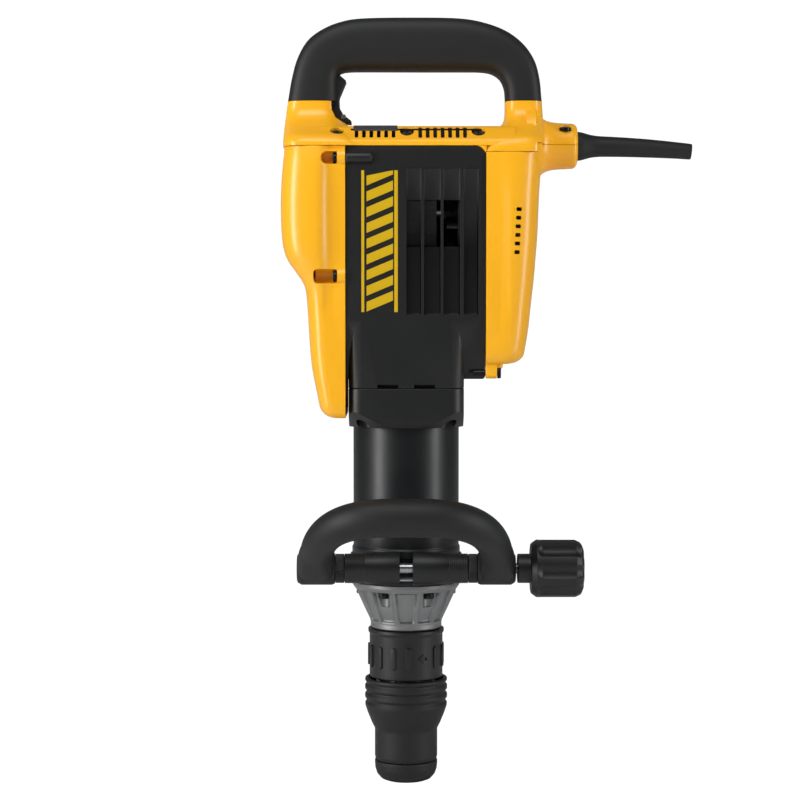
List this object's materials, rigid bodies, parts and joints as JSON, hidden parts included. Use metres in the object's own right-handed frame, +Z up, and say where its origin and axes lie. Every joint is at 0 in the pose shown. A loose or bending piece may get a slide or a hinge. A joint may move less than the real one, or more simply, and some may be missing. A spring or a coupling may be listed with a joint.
{
  "type": "electric demolition hammer",
  "caption": "Upright electric demolition hammer: motor housing with D-shaped handle, trigger and cord boot, bare barrel, loop side handle with knob, and a release sleeve at the nose.",
  "frame": {"origin": "on the impact axis, at the nose's end face", "axes": "+Z up the impact axis towards the D-shaped handle, +X towards the cord, -Y towards the face with the louvres and the side handle"},
  "size_m": [0.333, 0.2054, 0.6208],
  "materials": {
    "yellow_plastic": "semi-gloss moulded nylon",
    "black_plastic": "satin glass-filled nylon",
    "black_rubber": "matte moulded rubber",
    "black_enamel": "satin black enamel over die-cast aluminium",
    "blackened_steel": "black oxide",
    "cast_aluminium": "bead-blasted die casting",
    "hardened_steel": "ground and oiled",
    "copper": "turned copper segments",
    "laminated_iron": "stacked laminations",
    "carbon": "pressed carbon",
    "circuit_board": "potted board",
    "nylon": "moulded nylon"
  },
  "bodies": {
    "housing": {"barrel": "black_enamel", "brush_holder": "nylon", "carbon_brush_back": "carbon", "carbon_brush_front": "carbon", "control_module": "circuit_board", "cord_boot": "black_rubber", "cord_boss_screw": "blackened_steel", "crank_bearing_inner": "hardened_steel", "crank_bearing_outer": "hardened_steel", "cylinder_sleeve": "hardened_steel", "front_housing": "cast_aluminium", "gear_case": "cast_aluminium", "grip_back": "black_rubber", "grip_front": "black_rubber", "handle_base": "yellow_plastic", "handle_screw_left": "blackened_steel", "handle_screw_middle": "blackened_steel", "handle_screw_right": "blackened_steel", "left_cover": "yellow_plastic", "left_cover_screw_lower": "blackened_steel", "left_cover_screw_upper": "blackened_steel", "main_housing": "black_plastic", "motor_bearing_left": "hardened_steel", "motor_bearing_right": "hardened_steel", "motor_stator": "laminated_iron", "neck_flange": "black_plastic", "right_cover": "yellow_plastic", "right_lug_screw": "blackened_steel", "trigger_pivot_pin": "hardened_steel", "trigger_switch": "black_plastic"},
    "armature": {"armature_shaft": "hardened_steel", "armature_core": "laminated_iron", "commutator": "copper", "cooling_fan": "nylon"},
    "intermediate": {"intermediate_gear": "hardened_steel"},
    "crank": {"crank_gear": "hardened_steel", "crankshaft": "hardened_steel"},
    "piston_set": {"piston": "hardened_steel", "wrist_pin": "hardened_steel"},
    "rod_set": {"connecting_rod": "hardened_steel", "crank_pin": "hardened_steel"},
    "ram_body": {"ram": "hardened_steel"},
    "beat_body": {"beat_piece": "hardened_steel"},
    "holder": {"tool_holder": "hardened_steel", "index_collar": "black_plastic", "dust_cap": "black_rubber", "sleeve_spring": "hardened_steel"},
    "sleeve": {"release_sleeve": "black_rubber"},
    "roller_front": {"lock_roller_front": "hardened_steel"},
    "roller_back": {"lock_roller_back": "hardened_steel"},
    "clamp": {"clamp_half_left": "black_plastic", "clamp_half_right": "black_plastic", "clamp_hinge_pin": "hardened_steel", "clamp_bolt": "hardened_steel", "toothed_washer_left": "black_plastic", "toothed_washer_right": "black_plastic"},
    "loop": {"side_grip": "black_rubber"},
    "knob": {"clamp_knob": "black_plastic"},
    "trigger_body": {"trigger": "black_rubber"},
    "dial": {"speed_dial": "nylon"}
  },
  "joints": [
    {"name": "armature_spin", "type": "hinge", "parent": "housing", "child": "armature", "pos_m": [0, 0, 0.465], "axis": [1, 0, 0], "continuous": true},
    {"name": "intermediate_spin", "type": "hinge", "parent": "housing", "child": "intermediate", "pos_m": [0, 0, 0.43438], "axis": [1, 0, 0], "continuous": true},
    {"name": "crank_spin", "type": "hinge", "parent": "housing", "child": "crank", "pos_m": [0, 0, 0.38538], "axis": [1, 0, 0], "continuous": true},
    {"name": "piston_slide", "type": "slide", "parent": "housing", "child": "piston_set", "axis": [0, 0, 1], "range_m": [-0.028, 0]},
    {"name": "rod_swing", "type": "hinge", "parent": "piston_set", "child": "rod_set", "pos_m": [0, 0, 0.34137], "axis": [1, 0, 0], "range_deg": [-14, 14]},
    {"name": "ram_slide", "type": "slide", "parent": "housing", "child": "ram_body", "axis": [0, 0, 1], "range_m": [-0.028, 0]},
    {"name": "beat_slide", "type": "slide", "parent": "housing", "child": "beat_body", "axis": [0, 0, 1], "range_m": [0, 0.008]},
    {"name": "index_turn", "type": "hinge", "parent": "housing", "child": "holder", "pos_m": [0, 0, 0.1], "axis": [0, 0, 1], "continuous": true},
    {"name": "sleeve_slide", "type": "slide", "parent": "holder", "child": "sleeve", "axis": [0, 0, 1], "range_m": [0, 0.008], "stiffness_N_per_m": 900, "springref_m": -0.004, "deforming": ["sleeve_spring"]},
    {"name": "roller_front_slide", "type": "slide", "parent": "holder", "child": "roller_front", "axis": [0, -1, 0], "range_m": [0, 0.0028]},
    {"name": "roller_back_slide", "type": "slide", "parent": "holder", "child": "roller_back", "axis": [0, 1, 0], "range_m": [0, 0.0028]},
    {"name": "clamp_turn", "type": "hinge", "parent": "housing", "child": "clamp", "pos_m": [0, 0, 0.1775], "axis": [0, 0, 1], "continuous": true},
    {"name": "loop_tilt", "type": "hinge", "parent": "clamp", "child": "loop", "pos_m": [0, -0.059, 0.1814], "axis": [1, 0, 0], "range_deg": [-53, 87]},
    {"name": "knob_turn", "type": "hinge", "parent": "clamp", "child": "knob", "pos_m": [0.11, -0.059, 0.1814], "axis": [1, 0, 0], "continuous": true},
    {"name": "trigger_pull", "type": "hinge", "parent": "housing", "child": "trigger_body", "pos_m": [-0.0505, 0, 0.541], "axis": [0, -1, 0], "range_deg": [0, 10], "stiffness_Nm_per_rad": 0.6, "springref_deg": -5.73},
    {"name": "dial_turn", "type": "hinge", "parent": "housing", "child": "dial", "pos_m": [-0.03, 0.046, 0.386], "axis": [0, 1, 0], "range_deg": [-140, 140]}
  ],
  "couplings": [
    {"joint": "intermediate_spin", "follows": "armature_spin", "ratio": -0.225},
    {"joint": "crank_spin", "follows": "armature_spin", "ratio": 0.10658},
    {"joint": "ram_slide", "follows": "piston_slide", "ratio": 1},
    {"joint": "roller_front_slide", "follows": "sleeve_slide", "ratio": 0.35},
    {"joint": "roller_back_slide", "follows": "sleeve_slide", "ratio": 0.35}
  ]
}
